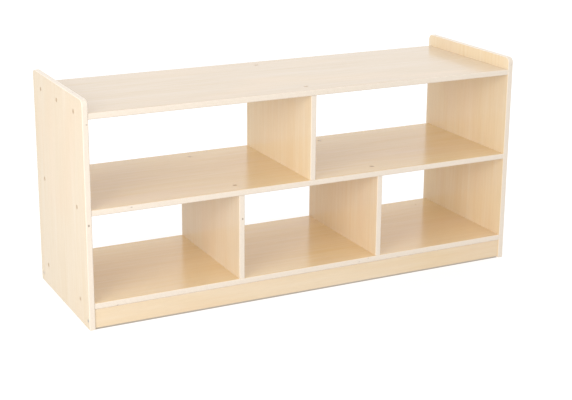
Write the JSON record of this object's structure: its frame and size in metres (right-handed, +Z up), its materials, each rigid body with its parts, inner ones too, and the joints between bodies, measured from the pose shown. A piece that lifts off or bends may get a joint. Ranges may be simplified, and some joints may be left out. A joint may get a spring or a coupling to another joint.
{
  "type": "open-backed classroom shelf unit",
  "caption": "Low free-standing birch plywood classroom shelf unit, open front and back, with tiers of divided compartments, end panels raised above the top board and a kickboard.",
  "frame": {"origin": "on the floor, under the middle of the unit's overall box", "axes": "+Z up, +X along the width to the right as seen from the front, -Y towards the front"},
  "size_m": [1.2, 0.391, 0.565],
  "materials": {
    "birch": "birch plywood, sanded, edges eased, clear satin lacquer",
    "cap": "moulded maple-coloured cover cap, matte",
    "screw": "zinc-plated steel"
  },
  "bodies": {
    "root": {"bottom_shelf": "birch", "front_kickboard": "birch", "left_end_panel": "birch", "lower_left_divider": "birch", "lower_right_divider": "birch", "middle_shelf": "birch", "rear_kickboard": "birch", "right_end_panel": "birch", "top_board": "birch", "upper_divider": "birch", "left_bottom_cap_front": "cap", "left_bottom_cap_rear": "cap", "left_bottom_screw_front": "screw", "left_bottom_screw_rear": "screw", "left_kick_screw_front": "screw", "left_kick_screw_rear": "screw", "left_middle_cap_front": "cap", "left_middle_cap_rear": "cap", "left_middle_screw_front": "screw", "left_middle_screw_rear": "screw", "left_top_cap_front": "cap", "left_top_cap_middle": "cap", "left_top_cap_rear": "cap", "left_top_screw_front": "screw", "left_top_screw_middle": "screw", "left_top_screw_rear": "screw", "lower_left_divider_foot_screw_front": "screw", "lower_left_divider_foot_screw_rear": "screw", "lower_left_divider_head_cap_front": "cap", "lower_left_divider_head_cap_rear": "cap", "lower_left_divider_head_screw_front": "screw", "lower_left_divider_head_screw_rear": "screw", "lower_right_divider_foot_screw_front": "screw", "lower_right_divider_foot_screw_rear": "screw", "lower_right_divider_head_cap_front": "cap", "lower_right_divider_head_cap_rear": "cap", "lower_right_divider_head_screw_front": "screw", "lower_right_divider_head_screw_rear": "screw", "right_bottom_cap_front": "cap", "right_bottom_cap_rear": "cap", "right_bottom_screw_front": "screw", "right_bottom_screw_rear": "screw", "right_kick_screw_front": "screw", "right_kick_screw_rear": "screw", "right_middle_cap_front": "cap", "right_middle_cap_rear": "cap", "right_middle_screw_front": "screw", "right_middle_screw_rear": "screw", "right_top_cap_front": "cap", "right_top_cap_middle": "cap", "right_top_cap_rear": "cap", "right_top_screw_front": "screw", "right_top_screw_middle": "screw", "right_top_screw_rear": "screw", "upper_divider_foot_screw_front": "screw", "upper_divider_foot_screw_rear": "screw", "upper_divider_head_cap_front": "cap", "upper_divider_head_cap_rear": "cap", "upper_divider_head_screw_front": "screw", "upper_divider_head_screw_rear": "screw"}
  },
  "joints": []
}
